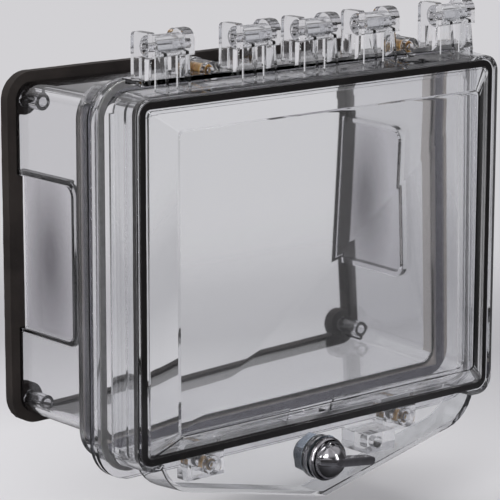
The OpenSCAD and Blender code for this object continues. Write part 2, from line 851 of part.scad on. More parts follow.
// Screw that holds the cam on the plug.
module cam_screw() {
    seat = cam_back - cam_washer_t;
    color("silver") on_lock() difference() {
        union() {
            bar_out(seat - cam_head_h, seat, 2 * cam_screw_d);
            bar_out(seat - skin, seat + cam_screw_len, cam_screw_d);
        }
        translate([0, -seat + cam_head_h, 0]) rotate([0, 45, 0]) cube([1, 3, 6], center = true);
        translate([0, -seat + cam_head_h, 0]) rotate([0, -45, 0]) cube([1, 3, 6], center = true);
    }
}

back_box();
wall_gasket();
box_seal();
mounting_frame();
frame_inserts();
flange_screws();
hinge_pin_1();
hinge_pin_2();
hinge_pin_3();
hinge_pin_4();
hinge_pin_5();
cover();
cover_seal();
lock_body();
lock_ring();
lock_washer();
lock_nut();
lock_plug();
plug_o_ring();
thumb_turn();
thumb_turn_pin();
lock_cam();
cam_washer();
cam_screw();
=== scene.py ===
"""Clear thermostat lock box: finishes, fine detail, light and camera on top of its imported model.

Distances are in millimetres until they reach a mesh; one function turns them into metres.
"""

import logging
import math
from dataclasses import dataclass, field
from enum import Enum
from typing import Callable, Iterable, Sequence

import bmesh
import bpy
from mathutils import Matrix, Vector, noise


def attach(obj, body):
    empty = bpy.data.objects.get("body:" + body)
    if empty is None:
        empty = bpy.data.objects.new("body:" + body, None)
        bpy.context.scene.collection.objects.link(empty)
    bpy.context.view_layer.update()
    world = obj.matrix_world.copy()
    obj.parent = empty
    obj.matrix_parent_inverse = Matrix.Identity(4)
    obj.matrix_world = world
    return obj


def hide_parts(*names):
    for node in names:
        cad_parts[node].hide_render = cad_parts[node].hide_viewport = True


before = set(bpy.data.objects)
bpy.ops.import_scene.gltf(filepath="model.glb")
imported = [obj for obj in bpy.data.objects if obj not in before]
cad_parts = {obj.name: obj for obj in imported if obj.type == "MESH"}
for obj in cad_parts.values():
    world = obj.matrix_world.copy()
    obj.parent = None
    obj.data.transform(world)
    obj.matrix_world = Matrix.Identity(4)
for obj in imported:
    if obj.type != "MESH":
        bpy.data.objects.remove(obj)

log = logging.getLogger("lock_box")

MM = 0.001
Point = tuple[float, float, float]


def linear(hex_colour: str) -> tuple[float, float, float, float]:
    """Turn an sRGB colour into the linear numbers that shaders use.

    Args:
        hex_colour: Six hexadecimal digits, red first.

    Returns:
        Red, green and blue, linear, and an alpha of 1.
    """
    parts = [int(hex_colour[i:i + 2], 16) / 255 for i in (0, 2, 4)]
    red, green, blue = [c / 12.92 if c <= 0.04045 else ((c + 0.055) / 1.055) ** 2.4 for c in parts]
    return red, green, blue, 1.0


class NodeTree:
    """The node tree of a new material or world, built one node at a time."""

    def __init__(self, owner: bpy.types.Material | bpy.types.World) -> None:
        """Args:
            owner: The material or world.
        """
        owner.use_nodes = True
        self.owner = owner
        self.tree = owner.node_tree
        self.tree.nodes.clear()

    def add(self, kind: str, settings: dict[str, object] | None = None, **links: object) -> bpy.types.Node:
        """Add a node, set its own settings, and fill or link its inputs.

        Args:
            kind: Node type without its ShaderNode prefix.
            settings: Values for the node's own properties.
            **links: Input name, with underscores for spaces, or i0, i1 for an input's number, to a
                plain value, a node (its first output) or a (node, output name) pair.

        Returns:
            The new node.
        """
        node = self.tree.nodes.new("ShaderNode" + kind)
        for key, value in (settings or {}).items():
            setattr(node, key, value)
        for key, value in links.items():
            numbered = key[0] == "i" and key[1:].isdigit()
            socket = node.inputs[int(key[1:]) if numbered else key.replace("_", " ")]
            if isinstance(value, bpy.types.Node):
                self.tree.links.new(value.outputs[0], socket)
            elif isinstance(value, tuple) and value and isinstance(value[0], bpy.types.Node):
                self.tree.links.new(value[0].outputs[value[1]], socket)
            else:
                socket.default_value = value
        return node

    def place(self, size_mm: float, stretch: Point = (1, 1, 1)) -> bpy.types.Node:
        """Object coordinates scaled so that one unit of a pattern is the given size.

        Args:
            size_mm: Size of one unit of the pattern.
            stretch: How much longer the pattern is along each axis.

        Returns:
            The mapping node.
        """
        coords = self.add("TexCoord")
        scale = tuple(1000 / (size_mm * s) for s in stretch)
        return self.add("Mapping", Vector=(coords, "Object"), Scale=scale)

    def mottle(self, size_mm: float, detail: float, stretch: Point = (1, 1, 1)) -> bpy.types.Node:
        """Irregular pattern in object space.

        Args:
            size_mm: Size of its patches.
            detail: How many finer layers it has.
            stretch: How much longer the patches are along each axis.

        Returns:
            The noise node.
        """
        return self.add("TexNoise", Vector=self.place(size_mm, stretch), Scale=1.0, Detail=detail)

    def calculate(self, operation: str, *values: object) -> bpy.types.Node:
        """One step of arithmetic.

        Args:
            operation: Name of the operation.
            *values: Numbers, nodes or (node, output) pairs.

        Returns:
            The math node.
        """
        return self.add("Math", {"operation": operation}, **{f"i{i}": value for i, value in enumerate(values)})

    def fade(
        self, value: object, span: tuple[float, float], low: float = 0.0, high: float = 1.0,
    ) -> bpy.types.Node:
        """Number that goes softly from one level to another while a value crosses a span.

        Args:
            value: Node or (node, output) that gives the value.
            span: Where the change starts and ends.
            low: Level before it.
            high: Level after it.

        Returns:
            The map range node.
        """
        return self.add(
            "MapRange", {"interpolation_type": "SMOOTHSTEP"}, Value=value, From_Min=span[0], From_Max=span[1],
            To_Min=low, To_Max=high)

    def ramp(self, source: object, stops: Sequence[tuple[float, tuple[float, ...]]]) -> bpy.types.Node:
        """Colour ramp over a value.

        Args:
            source: Node or (node, output) that drives the ramp.
            stops: Position and linear colour of each stop.

        Returns:
            The ramp node.
        """
        node = self.add("ValToRGB", Fac=source)
        while len(node.color_ramp.elements) < len(stops):
            node.color_ramp.elements.new(0.5)
        for element, (position, colour) in zip(node.color_ramp.elements, stops):
            element.position, element.color = position, colour
        return node

    def bump(self, height: object, depth_mm: float, strength: float = 1.0) -> bpy.types.Node:
        """Bump from a height between 0 and 1.

        Args:
            height: Node or (node, output) that gives the height.
            depth_mm: Height of the full range.
            strength: Share of the bump that shows.

        Returns:
            The bump node.
        """
        return self.add("Bump", Height=height, Distance=depth_mm * MM, Strength=strength)

    def let_lamps_through(self, shader: bpy.types.Node, shade: str) -> bpy.types.Node:
        """Let the lamps shine through clear plastic instead of casting its full shadow.

        Args:
            shader: What every other ray meets.
            shade: Colour that a lamp's light keeps behind the surface.

        Returns:
            The mixed shader.
        """
        path = self.add("LightPath")
        clear = self.add("BsdfTransparent", Color=linear(shade))
        return self.add("MixShader", i0=(path, "Is Shadow Ray"), i1=shader, i2=clear)

    def finish(self, shader: bpy.types.Node, body: bpy.types.Node | None = None) -> bpy.types.Material:
        """Link the shader to the output.

        Args:
            shader: The last shader node.
            body: What light meets inside the material.

        Returns:
            The finished material.
        """
        self.add("OutputMaterial", Surface=shader, **({"Volume": body} if body is not None else {}))
        return self.owner


@dataclass(frozen=True)
class ClearPolycarbonate:
    """Clear moulded polycarbonate, as it leaves a polished tool.

    The eye gets a water-clear wall with grey edges, faint flow waviness and bright lines along its
    moulded corners.
    """

    name: str = "clear polycarbonate"
    tint: str = "f6f7f8"
    shade: str = "c4c4c8"
    deep: str = "1c1c20"
    loss_per_m: float = 6.0
    refraction: float = 1.585
    roughness: float = 0.03
    wave_mm: float = 38.0
    wave_depth_mm: float = 0.05

    def build(self) -> bpy.types.Material:
        """Returns:
            The material.
        """
        tree = NodeTree(bpy.data.materials.new(self.name))
        wave = tree.mottle(self.wave_mm, detail=1.0)
        shader = tree.add(
            "BsdfPrincipled", Base_Color=linear(self.tint), Roughness=self.roughness, IOR=self.refraction,
            Transmission_Weight=1.0, Normal=tree.bump(wave, self.wave_depth_mm))
        depth = tree.add("VolumeAbsorption", Color=linear(self.deep), Density=self.loss_per_m)
        return tree.finish(tree.let_lamps_through(shader, self.shade), depth)


@dataclass(frozen=True)
class StippledPolycarbonate:
    """The same plastic where the tool is spark-eroded instead of polished.

    The eye gets a dim, greyish tan band with a fine pebble grain.
    """

    name: str = "stippled polycarbonate"
    tint: str = "8b857f"
    pale: str = "b5aeaa"
    refraction: float = 1.585
    roughness: float = 0.32
    grain_mm: float = 0.8
    depth_mm: float = 0.05

    def build(self) -> bpy.types.Material:
        """Returns:
            The material.
        """
        tree = NodeTree(bpy.data.materials.new(self.name))
        grain = tree.mottle(self.grain_mm, detail=2.0)
        colour = tree.ramp(grain, [(0.3, linear(self.tint)), (0.7, linear(self.pale))])
        shader = tree.add(
            "BsdfPrincipled", Base_Color=colour, Roughness=self.roughness, IOR=self.refraction,
            Transmission_Weight=1.0, Normal=tree.bump(grain, self.depth_mm, strength=0.8))
        return tree.finish(tree.let_lamps_through(shader, self.pale))


@dataclass(frozen=True)
class PanelPolycarbonate:
    """The recessed conduit panels, thin walls of the same clear resin that can be cut out.

    The middle of each panel is painted darker, a painted dark reflection that fades softly
    towards the edges.
    """

    name: str = "clear polycarbonate, panel, painted dark reflection"
    # Painted dark reflection in the middle of the panel, fading to the edge colour.
    middle: str = "8f8d92"
    edge: str = "dddce0"
    refraction: float = 1.585
    roughness: float = 0.08
    centre_out_mm: float = 30.0
    reach_out_mm: float = 24.0
    reach_up_mm: float = 58.0

    def build(self) -> bpy.types.Material:
        """Build the material.

        Returns:
            The material.
        """
        tree = NodeTree(bpy.data.materials.new(self.name))
        coords = tree.add("TexCoord")
        spot = tree.add(
            "VectorMath", {"operation": "MULTIPLY_ADD"}, i0=(coords, "Object"),
            i1=(0, 1 / (self.reach_out_mm * MM), 1 / (self.reach_up_mm * MM)),
            i2=(0, self.centre_out_mm / self.reach_out_mm, 0))
        away = tree.add("VectorMath", {"operation": "LENGTH"}, i0=spot)
        colour = tree.ramp((away, "Value"), [(0.15, linear(self.middle)), (1.0, linear(self.edge))])
        shader = tree.add(
            "BsdfPrincipled", Base_Color=colour, Roughness=self.roughness, IOR=self.refraction,
            Transmission_Weight=1.0)
        return tree.finish(tree.let_lamps_through(shader, self.edge))


@dataclass(frozen=True)
class PolishedEdge:
    """The rounded edges of the clear mouldings.

    The tool's edges are polished by hand. Each one bends the light of the whole room into a line, so
    the eye gets thin bright glints along the plastic.
    """

    name: str = "clear polycarbonate, edges"
    tint: str = "f6f7f8"
    refraction: float = 1.585
    roughness: float = 0.06
    glint: float = 0.28
    glint_roughness: float = 0.18
    wear_mm: float = 11.0
    wear: tuple[float, float] = (0.8, 1.2)
    shade: str = "c4c4c8"

    def build(self) -> bpy.types.Material:
        """Build the material.

        Returns:
            The material.
        """
        tree = NodeTree(bpy.data.materials.new(self.name))
        body = tree.add(
            "BsdfPrincipled", Base_Color=linear(self.tint), Roughness=self.roughness, IOR=self.refraction,
            Transmission_Weight=1.0)
        shine = tree.add("BsdfAnisotropic", Color=linear("ffffff"), Roughness=self.glint_roughness)
        share = tree.add(
            "MapRange", Value=tree.mottle(self.wear_mm, detail=1.0), From_Min=0.3, From_Max=0.7,
            To_Min=self.glint * self.wear[0], To_Max=self.glint * self.wear[1])
        both = tree.add("MixShader", i0=share, i1=body, i2=shine)
        return tree.finish(tree.let_lamps_through(both, self.shade))


@dataclass(frozen=True)
class ClosedCellFoam:
    """Black neoprene-type foam strip, die cut, with open cells on its cut faces.

    The eye gets a soft brownish black with a fine matt grain.
    """

    name: str = "closed cell foam"
    dark: str = "1d1918"
    light: str = "2e2927"
    cell_mm: float = 0.9
    cell_depth_mm: float = 0.12
    cloud_mm: float = 24.0
    roughness: float = 0.92
    specular: float = 0.25

    def build(self) -> bpy.types.Material:
        """Returns:
            The material.
        """
        tree = NodeTree(bpy.data.materials.new(self.name))
        cells = tree.add("TexVoronoi", {"feature": "F1"}, Vector=tree.place(self.cell_mm), Scale=1.0)
        cloud = tree.mottle(self.cloud_mm, detail=3.0)
        colour = tree.ramp(cloud, [(0.3, linear(self.dark)), (0.7, linear(self.light))])
        shader = tree.add(
            "BsdfPrincipled", Base_Color=colour, Roughness=self.roughness, Specular_IOR_Level=self.specular,
            Normal=tree.bump((cells, "Distance"), self.cell_depth_mm, strength=0.7))
        return tree.finish(shader)


@dataclass(frozen=True)
class PlatedMetal:
    """A metal surface with fine tool marks and slight blotches.

    The eye gets clear reflections that spread a little along the marks.
    """

    name: str
    colour: str
    worn: str
    roughness: float
    mark_mm: float = 0.25
    stretch: Point = (1, 1, 1)
    depth_mm: float = 0.004
    blotch_mm: float = 7.0
    spread: tuple[float, float] = (0.8, 1.3)

    def build(self) -> bpy.types.Material:
        """Returns:
            The material.
        """
        tree = NodeTree(bpy.data.materials.new(self.name))
        marks = tree.mottle(self.mark_mm, detail=2.0, stretch=self.stretch)
        cloud = tree.mottle(self.blotch_mm, detail=4.0)
        colour = tree.ramp(cloud, [(0.35, linear(self.colour)), (0.75, linear(self.worn))])
        low, high = (self.roughness * share for share in self.spread)
        rough = tree.add("MapRange", Value=cloud, To_Min=low, To_Max=high)
        shader = tree.add(
            "BsdfPrincipled", Base_Color=colour, Metallic=1.0, Roughness=(rough, "Result"),
            Normal=tree.bump(marks, self.depth_mm, strength=0.6))
        return tree.finish(shader)


@dataclass(frozen=True)
class SoftSeal:
    """Moulded rubber or silicone with a dull skin.

    The eye gets an even soft sheen with a faint mottle.
    """

    name: str
    dark: str
    light: str
    roughness: float = 0.6
    cloud_mm: float = 3.0
    grain_mm: float = 0.3
    grain_depth_mm: float = 0.01

    def build(self) -> bpy.types.Material:
        """Returns:
            The material.
        """
        tree = NodeTree(bpy.data.materials.new(self.name))
        cloud = tree.mottle(self.cloud_mm, detail=4.0)
        colour = tree.ramp(cloud, [(0.35, linear(self.dark)), (0.7, linear(self.light))])
        grain = tree.mottle(self.grain_mm, detail=2.0)
        shader = tree.add(
            "BsdfPrincipled", Base_Color=colour, Roughness=self.roughness,
            Normal=tree.bump(grain, self.grain_depth_mm, strength=0.5))
        return tree.finish(shader)


class Finish(Enum):
    """Every finish of the product, with the record slot it belongs to."""

    CLEAR = ("clear_plastic", ClearPolycarbonate())
    CLEAR_FRAME = ("clear_plastic", ClearPolycarbonate("clear polycarbonate, frame", "fafafb", loss_per_m=3.0))
    CLEAR_BOX = ("clear_plastic", ClearPolycarbonate(
        "clear polycarbonate, box", "f2f2f4", loss_per_m=10.0, wave_depth_mm=0.08))
    CLEAR_PIN = ("clear_plastic", ClearPolycarbonate(
        "clear acrylic rod", "eeeef0", refraction=1.49, roughness=0.06))
    STIPPLED = ("clear_plastic", StippledPolycarbonate())
    EDGE = ("clear_plastic", PolishedEdge())
    # Painted dark reflection in the middle of each conduit panel.
    SATIN = ("clear_plastic", PanelPolycarbonate())
    # Dark stippled plastic, painted shade on the step's band and the flange's narrow sides.
    SMOKY = ("clear_plastic", StippledPolycarbonate(
        "stippled polycarbonate, painted shade", "4c4b52", "62616a", roughness=0.16, grain_mm=3.0, depth_mm=0.02))
    FOAM = ("foam", ClosedCellFoam())
    PALE_SEAL = ("pale_seal", SoftSeal("pale silicone", "b9b8b2", "cfcec9", 0.5))
    RUBBER = ("black_rubber", SoftSeal("nitrile rubber", "0e0e0e", "1b1b1c"))
    BRASS = ("brass", PlatedMetal("turned brass", "b98b3e", "d6ab5c", 0.3, 0.2, (1, 8, 1)))
    STEEL = ("steel", PlatedMetal("stainless steel", "9b9c9e", "b9babc", 0.28, 0.2))
    ZINC = ("zinc_plate", PlatedMetal("blue zinc plate", "8a95a3", "b2bcc8", 0.2, 0.4))
    PALE_ZINC = ("zinc_plate", PlatedMetal("pale blue zinc plate", "9db0bd", "b7c6d0", 0.42, 0.3))
    CHROME = ("dark_chrome", PlatedMetal("dark chrome", "8d8b8e", "a5a4a8", 0.09, 0.5, depth_mm=0.002))

    def __init__(self, slot: str, recipe: object) -> None:
        self.slot = slot
        self.recipe = recipe

    @property
    def material(self) -> bpy.types.Material:
        """Returns:
            The material of this finish, built once.
        """
        return bpy.data.materials.get(self.recipe.name) or self.recipe.build()


@dataclass
class Piece:
    """A mesh under construction in millimetres, which ends as an object that rides on a body."""

    name: str
    body: str
    finish: Finish
    mesh: bmesh.types.BMesh = field(default_factory=bmesh.new)

    def turn(
        self, points: Sequence[tuple[float, float]], centre: tuple[float, float], facets: int = 48,
        ripple: Callable[[float, float, float], float] | None = None, closed: bool = False,
    ) -> None:
        """Add a surface turned about an axis that runs out from the wall.

        Args:
            points: Radius and distance from the wall, in order along the profile.
            centre: The axis in X and Z.
            facets: Faces round the axis.
            ripple: New radius from the angle, the radius and the distance.
            closed: Whether the profile's last point joins its first.
        """
        rings = []
        for radius, out in points:
            ring = []
            for index in range(facets):
                angle = 2 * math.pi * index / facets
                reach = ripple(angle, radius, out) if ripple else radius
                ring.append(self.mesh.verts.new(
                    (centre[0] + reach * math.cos(angle), -out, centre[1] + reach * math.sin(angle))))
            rings.append(ring)
        pairs = list(zip(rings, rings[1:])) + ([(rings[-1], rings[0])] if closed else [])
        for one, two in pairs:
            for index in range(facets):
                after = (index + 1) % facets
                self.mesh.faces.new((one[index], one[after], two[after], two[index]))
        if not closed:
            self.mesh.faces.new(rings[0])
            self.mesh.faces.new(rings[-1])

    def add_to_scene(self, smooth_angle: float = 35.0, stands_for: Iterable[str] = ()) -> bpy.types.Object:
        """Make the object, with its material and body.

        Args:
            smooth_angle: Faces that meet at less than this angle, in degrees, are shaded smooth.
            stands_for: CAD nodes that the piece is shown instead of.

        Returns:
            The object.
        """
        data = bpy.data.meshes.new(self.name)
        bmesh.ops.recalc_face_normals(self.mesh, faces=self.mesh.faces)
        self.mesh.transform(Matrix.Scale(MM, 4))
        self.mesh.to_mesh(data)
        self.mesh.free()
        return dress(data, self, smooth_angle, stands_for)


def dress(
    data: bpy.types.Mesh, piece: Piece, smooth_angle: float, stands_for: Iterable[str],
) -> bpy.types.Object:
    """Give a mesh its object, shading, material and body.

    Args:
        data: The mesh, in metres.
        piece: Name, body and finish.
        smooth_angle: Limit for smooth shading, in degrees.
        stands_for: CAD nodes that the object is shown instead of.

    Returns:
        The object.
    """
    data.materials.clear()
    data.materials.append(piece.finish.material)
    data.shade_smooth()
    data.set_sharp_from_angle(angle=math.radians(smooth_angle))
    item = bpy.data.objects.new(piece.name, data)
    bpy.context.scene.collection.objects.link(item)
    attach(item, piece.body)
    if stands_for:
        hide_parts(*stands_for)
    return item


# The CAD mesh is welded and its flat faces are joined before anything is drawn on it.
WELD_MM = 0.002
FLAT_DEG = 0.6
# An edge of a slope bends less than this and is longer than this.
SLOPE_DEG = 40.0
LONG_EDGE_MM = 40.0
# An edge round the front bends more than this and keeps to its distance from the wall.
RIM_DEG = 60.0
RIM_SPREAD_MM = 0.1


def rounded_copy(
    node: str, body: str, finish: Finish, radius_mm: float, slope_radius_mm: float = 0.0, segments: int = 2,
    smooth_deg: float = 14.0,
    textures: Sequence[tuple[Finish, Callable[[bmesh.types.BMFace], bool]]] = (),
    cuts: Sequence[tuple[Point, Point]] = (), edge_finish: Finish | None = None,
    rim: tuple[float, float] | None = None,
) -> bpy.types.Object:
    """Show a CAD node as a copy with rounded edges, as moulding or tumbling leaves them.

    Args:
        node: Name of the CAD node.
        body: Body that it rides on.
        finish: Its finish.
        radius_mm: Width of the rounding. Blender narrows every width where roundings would meet.
        slope_radius_mm: Width along the long edges of a gentle slope, if wider.
        segments: Faces across the rounding.
        smooth_deg: Edges sharper than this are rounded.
        textures: Further finishes, each with a test for the faces that carry it, in millimetres.
        cuts: Planes, each a point and a normal, that part the faces where a finish ends.
        edge_finish: Finish of the roundings, if another.
        rim: Distance from the wall and width of the edge round the front, if it has its own.

    Returns:
        The copy.
    """
    piece = Piece(node + "_skin", body, finish)
    mesh = piece.mesh
    mesh.from_mesh(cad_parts[node].data)
    bmesh.ops.remove_doubles(mesh, verts=mesh.verts, dist=WELD_MM * MM)
    bmesh.ops.dissolve_limit(mesh, angle_limit=math.radians(FLAT_DEG), verts=mesh.verts, edges=mesh.edges)
    mesh.transform(Matrix.Scale(1 / MM, 4))
    for place, normal in cuts:
        parts = mesh.verts[:] + mesh.edges[:] + mesh.faces[:]
        bmesh.ops.bisect_plane(mesh, geom=parts, dist=1e-4, plane_co=place, plane_no=normal)
    mesh.normal_update()
    carried = []
    for face in mesh.faces:
        found = [index + 1 for index, (_, carries) in enumerate(textures) if carries(face)]
        carried.append(found[0] if found else 0)
    slope_radius_mm = max(slope_radius_mm, radius_mm)
    weight = mesh.edges.layers.float.new("bevel_weight_edge")
    for edge in mesh.edges:
        bend = math.degrees(edge.calc_face_angle(0.0))
        if bend > smooth_deg:
            sloped = bend < SLOPE_DEG and edge.calc_length() > LONG_EDGE_MM
            edge[weight] = 1.0 if sloped else radius_mm / slope_radius_mm
            if rim is None or bend <= RIM_DEG:
                continue
            if all(abs(-vertex.co.y - rim[0]) < RIM_SPREAD_MM for vertex in edge.verts):
                edge[weight] = rim[1] / slope_radius_mm
    item = piece.add_to_scene(smooth_deg, [node])
    for texture, _ in textures:
        item.data.materials.append(texture.material)
    item.data.polygons.foreach_set("material_index", carried)
    bevel = item.modifiers.new("edge rounding", "BEVEL")
    bevel.width = slope_radius_mm * MM
    bevel.segments = segments
    bevel.limit_method = "WEIGHT"
    if edge_finish is not None:
        item.data.materials.append(edge_finish.material)
        bevel.material = len(item.data.materials) - 1
    bevel.harden_normals = True
    bevel.use_clamp_overlap = True
    return item


@dataclass
class FoamStrip:
    """A die-cut foam ring whose cut sides wander a little inside their die line."""

    node: str
    body: str
    step_mm: float = 3.5
    wander_mm: float = 0.45
    grain_mm: float = 0.25
    wander_length_mm: float = 46.0
    grain_length_mm: float = 2.3
    wander_offset: Point = (3.1, 0, 7.7)
    least_sideways: float = 0.4
    smooth_deg: float = 50.0

    def build(self) -> bpy.types.Object:
        """Show the ring's CAD node as a soft copy that stays inside it.

        Returns:
            The copy.
        """
        piece = Piece(self.node + "_foam", self.body, Finish.FOAM)
        mesh = piece.mesh
        mesh.from_mesh(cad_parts[self.node].data)
        mesh.transform(Matrix.Scale(1 / MM, 4))
        bmesh.ops.remove_doubles(mesh, verts=mesh.verts, dist=WELD_MM)
        bmesh.ops.dissolve_limit(mesh, angle_limit=math.radians(FLAT_DEG), verts=mesh.verts, edges=mesh.edges)
        self.slice_up(mesh)
        bmesh.ops.triangulate(mesh, faces=[f for f in mesh.faces if len(f.verts) > 4])
        mesh.normal_update()
        moves = [(vertex, self.sag(vertex)) for vertex in mesh.verts]
        for vertex, move in moves:
            vertex.co += move
        return piece.add_to_scene(self.smooth_deg, [self.node])

    def slice_up(self, mesh: bmesh.types.BMesh) -> None:
        """Cut the ring into short lengths, so that its cut sides can wander.

        Args:
            mesh: The ring in millimetres.
        """
        for axis, other in ((0, 2), (2, 0)):
            low = min(v.co[axis] for v in mesh.verts)
            high = max(v.co[axis] for v in mesh.verts)
            normal = Vector((0, 0, 0))
            normal[axis] = 1.0
            for index in range(1, int((high - low) / self.step_mm)):
                point = normal * (low + index * self.step_mm)
                everything = mesh.verts[:] + mesh.edges[:] + mesh.faces[:]
                bmesh.ops.bisect_plane(mesh, geom=everything, dist=0.001, plane_co=point, plane_no=normal)

    def sag(self, vertex: bmesh.types.BMVert) -> Vector:
        """How far a point of the cut side lies inside its die line.

        Args:
            vertex: The point.

        Returns:
            Its move, always into the foam.
        """
        sideways = Vector((vertex.normal.x, 0, vertex.normal.z))
        if sideways.length < self.least_sideways:
            return Vector((0, 0, 0))
        slow = noise.noise(vertex.co / self.wander_length_mm + Vector(self.wander_offset)) * 0.5 + 0.5
        quick = noise.noise(vertex.co / self.grain_length_mm) * 0.5 + 0.5
        return -sideways.normalized() * (slow * self.wander_mm + quick * self.grain_mm)


@dataclass
class Dressing:
    """CAD nodes that keep their own solids and get a finish."""

    body: str
    finishes: dict[str, Finish]

    def build(self) -> None:
        """Put each node's finish into its material slots."""
        for node, finish in self.finishes.items():
            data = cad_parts[node].data
            if not data.materials:
                data.materials.append(None)
            for index in range(len(data.materials)):
                data.materials[index] = finish.material
            log.info("%s on %s: %s", node, self.body, finish.name)


@dataclass
class BackBox:
    """The clear box on the wall with its foam gasket and flange seal."""

    edge_mm: float = 0.6
    flange_x_mm: float = 143.0
    panel_x_mm: tuple[float, float] = (121.0, 124.0)
    panel_half_z_mm: float = 45.0
    half_w_mm: float = 128.5
    half_h_mm: float = 98.0
    rim_mm: float = 5.4
    band_mm: tuple[float, float] = (0.5, 7.5)
    step_out_mm: float = 80.9
    step_deep_mm: float = 2.6
    slack_mm: float = 0.5
    corner_mm: float = 1.0
    square_on: float = 0.9
    edge_on: float = 0.1

    def build(self) -> None:
        """Dress the box."""
        # Painted shade on the step's outer band and the flange's narrow sides; a painted dark reflection in
        # each panel.
        textures = (
            (Finish.SMOKY, self.on_band), (Finish.STIPPLED, self.on_step), (Finish.SATIN, self.on_panel),
            (Finish.SMOKY, self.on_flange_side))
        cuts = [((0, -self.step_out_mm + self.rim_mm, 0), (0, 1, 0))]
        for reach in self.band_mm:
            cuts += [((side * (self.half_w_mm + reach), 0, 0), (1, 0, 0)) for side in (-1, 1)]
            cuts += [((0, 0, side * (self.half_h_mm + reach)), (0, 0, 1)) for side in (-1, 1)]
        rounded_copy(
            "back_box", "box", Finish.CLEAR_BOX, self.edge_mm, textures=textures, cuts=cuts,
            edge_finish=Finish.EDGE)
        FoamStrip("wall_gasket", "box").build()
        Dressing("box", {"box_seal": Finish.PALE_SEAL}).build()

    def on_step(self, face: bmesh.types.BMFace) -> bool:
        """Tell the faces of the step from the narrow body to the shoulder, and of the rim before it.

        Args:
            face: A face of the box in millimetres.

        Returns:
            Whether the face belongs to the step.
        """
        centre = face.calc_center_median()
        low, high = self.step_out_mm, self.step_out_mm + self.step_deep_mm
        if abs(face.normal.y) > self.square_on:
            return low - self.slack_mm < -centre.y < high + self.slack_mm
        before_it = low - self.rim_mm < -centre.y < low and abs(centre.x) < self.half_w_mm - self.corner_mm
        return before_it and abs(face.normal.x) > self.square_on

    def on_band(self, face: bmesh.types.BMFace) -> bool:
        """Tell the faces of the step's outer band, which get painted shade.

        Args:
            face: A face of the box in millimetres.

        Returns:
            Whether the face belongs to the band.
        """
        centre = face.calc_center_median()
        reach = max(abs(centre.x) - self.half_w_mm, abs(centre.z) - self.half_h_mm)
        level = abs(face.normal.y) > self.square_on
        return level and self.on_step(face) and self.band_mm[0] < reach < self.band_mm[1]

    def on_flange_side(self, face: bmesh.types.BMFace) -> bool:
        """Tell the narrow side faces of the flange, which get painted shade.

        Args:
            face: A face of the box in millimetres.

        Returns:
            Whether the face is a side of the flange.
        """
        centre = face.calc_center_median()
        return abs(face.normal.y) < self.edge_on and abs(centre.x) > self.flange_x_mm

    def on_panel(self, face: bmesh.types.BMFace) -> bool:
        """Tell the faces of the recessed conduit panels, which get a painted dark reflection.

        Args:
            face: A face of the box in millimetres.

        Returns:
            Whether the face is the flat of a panel.
        """
        centre = face.calc_center_median()
        low, high = self.panel_x_mm
        inside = low < abs(centre.x) < high and abs(centre.z) < self.panel_half_z_mm
        return inside and abs(face.normal.x) > self.square_on


@dataclass
class FlangeFixing:
    """One knurled insert and the screw in it."""

    place: tuple[float, float]
    flange_out_mm: float = 101.5
    insert_mm: float = 12.0
    insert_d_mm: float = 7.2
    screw_d_mm: float = 4.0
    seat_out_mm: float = 97.5
    screw_mm: float = 14.0
    head_d_mm: float = 7.4
    head_mm: float = 2.8
    pitch_mm: float = 0.7
    thread_mm: float = 0.36
    thread_step_mm: float = 0.12
    chamfer_mm: float = 0.5
    groove_mm: float = 0.6
    groove_span_mm: tuple[float, float] = (5.1, 6.4)
    upper_band_mm: float = 6.6
    knurl_step_mm: float = 0.4
    knurl_mm: float = 0.32
    ridges: int = 12
    lean: float = 1.6

    def insert(self, piece: Piece) -> None:
        """Turn the insert, with two knurled bands and a plain groove.

        Args:
            piece: The mesh that it joins.
        """
        outer, bore = self.insert_d_mm / 2, self.screw_d_mm / 2 + 0.05
        low, high = self.flange_out_mm, self.flange_out_mm + self.insert_mm
        groove, step = outer - self.groove_mm, self.knurl_step_mm
        points = [(bore, low), (outer - self.chamfer_mm, low), (outer, low + self.chamfer_mm)]
        points += [(outer, low + self.chamfer_mm + step * i) for i in range(1, 12)]
        points += [(groove, low + out) for out in self.groove_span_mm] + [(outer, low + self.upper_band_mm)]
        points += [(outer, low + self.upper_band_mm + step * i) for i in range(1, 11)]
        points += [(groove, high - 0.8), (groove, high), (bore, high)]
        piece.turn(points, self.place, 96, self.knurl, closed=True)

    def knurl(self, angle: float, radius: float, out: float) -> float:
        """Radius of the crossed knurl.

        Args:
            angle: Angle round the axis.
            radius: Radius of the plain form.
            out: Distance from the wall.

        Returns:
            Radius with the knurl cut into it.
        """
        if radius < self.insert_d_mm / 2 - 0.01:
            return radius
        turn, lean = self.ridges * angle, out * self.lean
        cut = max(abs(math.sin(turn + lean)), abs(math.sin(turn - lean)))
        return radius - self.knurl_mm * (1 - cut)

    def screw(self, piece: Piece) -> None:
        """Turn the screw: pan head behind the box's flange and a threaded shank.

        Args:
            piece: The mesh that it joins.
        """
        half, head = self.screw_d_mm / 2, self.head_d_mm / 2
        seat, back = self.seat_out_mm, self.seat_out_mm - self.head_mm
        points = [
            (0.25, back + 1.4), (1.0, back + 0.1), (head * 0.6, back), (head * 0.88, back + 0.5),
            (head, back + 1.4), (head, seat), (half, seat)]
        steps = int((self.screw_mm - 1.2) / self.thread_step_mm)
        points += [(half, seat + 0.4 + self.thread_step_mm * i) for i in range(steps)]
        points += [(half * 0.6, seat + self.screw_mm), (0.2, seat + self.screw_mm)]
        piece.turn(points, self.place, 40, self.thread)

    def thread(self, angle: float, radius: float, out: float) -> float:
        """Radius of the thread.

        Args:
            angle: Angle round the axis.
            radius: Radius of the plain form.
            out: Distance from the wall.

        Returns:
            Radius with the thread cut into it.
        """
        if abs(radius - self.screw_d_mm / 2) > 0.001 or out <= self.seat_out_mm:
            return radius
        turn = (out / self.pitch_mm + angle / (2 * math.pi)) % 1.0
        return radius - self.thread_mm * abs(2 * turn - 1)


